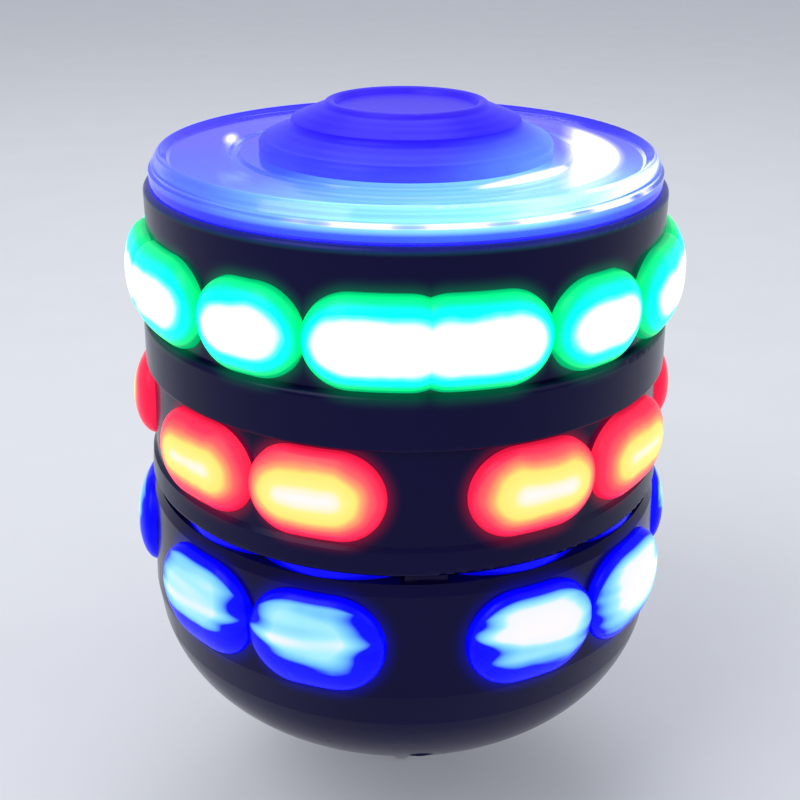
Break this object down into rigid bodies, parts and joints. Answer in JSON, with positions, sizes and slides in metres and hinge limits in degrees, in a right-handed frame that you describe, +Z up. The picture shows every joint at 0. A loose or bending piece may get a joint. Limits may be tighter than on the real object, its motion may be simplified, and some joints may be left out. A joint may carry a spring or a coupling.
{
  "type": "light-up spinning top",
  "caption": "Stacked-tier spinning top with rows of glowing domed lenses, a clear lit top cover with a low stepped launch knob, and a steel tip.",
  "frame": {"origin": "the point where the tip touches the table, on the spin axis", "axes": "+Z up the spin axis; -Y through the middle of a plain blank between two lens pairs"},
  "size_m": [0.0654, 0.0641, 0.0898],
  "materials": {
    "black_plastic": "glossy moulded ABS, near black",
    "black_inner": "moulded ABS inner parts",
    "clear_plastic": "clear polystyrene, polished",
    "knob_plastic": "frosted translucent, lit blue-violet from below",
    "green_lens": "translucent green lens plastic, lit from inside",
    "red_lens": "translucent red lens plastic, lit from inside",
    "blue_lens": "translucent blue lens plastic, lit from inside",
    "white_plastic": "white reflector plastic",
    "steel": "turned and polished steel",
    "plated_steel": "zinc-plated steel",
    "board": "fibreglass circuit board, green solder mask",
    "brass": "machined brass",
    "copper_alloy": "phosphor bronze strip",
    "gold_pin": "plated square pin",
    "led_epoxy": "clear LED epoxy",
    "led_package": "white surface-mount LED package",
    "epoxy_black": "epoxy over a bonded chip",
    "resistor": "thick-film resistor"
  },
  "bodies": {
    "top": {"battery_door": "black_plastic", "battery_tray": "black_inner", "bezel_screws": "plated_steel", "blue_led_board": "board", "blue_leds": "led_epoxy", "blue_lenses": "blue_lens", "button_cells": "plated_steel", "chip_resistors": "resistor", "control_chip": "epoxy_black", "door_contacts": "copper_alloy", "door_screws": "plated_steel", "flywheel_ring": "plated_steel", "green_led_board": "board", "green_leds": "led_epoxy", "green_lens_ring": "green_lens", "housing_screws": "plated_steel", "launch_knob": "knob_plastic", "link_pins": "gold_pin", "lower_posts": "plated_steel", "middle_posts": "plated_steel", "red_led_board": "board", "red_leds": "led_epoxy", "red_lenses": "red_lens", "reed_anchor": "copper_alloy", "spin_tip": "steel", "switch_block": "black_inner", "switch_contact": "copper_alloy", "tier_1_housing": "black_plastic", "tier_2_housing": "black_plastic", "tier_3_housing": "black_plastic", "top_bezel": "black_plastic", "top_cover": "clear_plastic", "top_led_board": "board", "top_leds": "led_package", "top_reflector": "white_plastic", "tray_contacts": "copper_alloy", "tray_posts": "plated_steel", "tray_screws": "plated_steel", "upper_posts": "plated_steel"},
    "reed": {"switch_reed": "copper_alloy", "switch_weight": "brass"}
  },
  "joints": [
    {"name": "switch_swing", "type": "hinge", "parent": "top", "child": "reed", "pos_m": [-0.0058, 0.0114, 0.0402], "axis": [0, 0, 1], "range_deg": [0, 6], "stiffness_Nm_per_rad": 0.004}
  ]
}
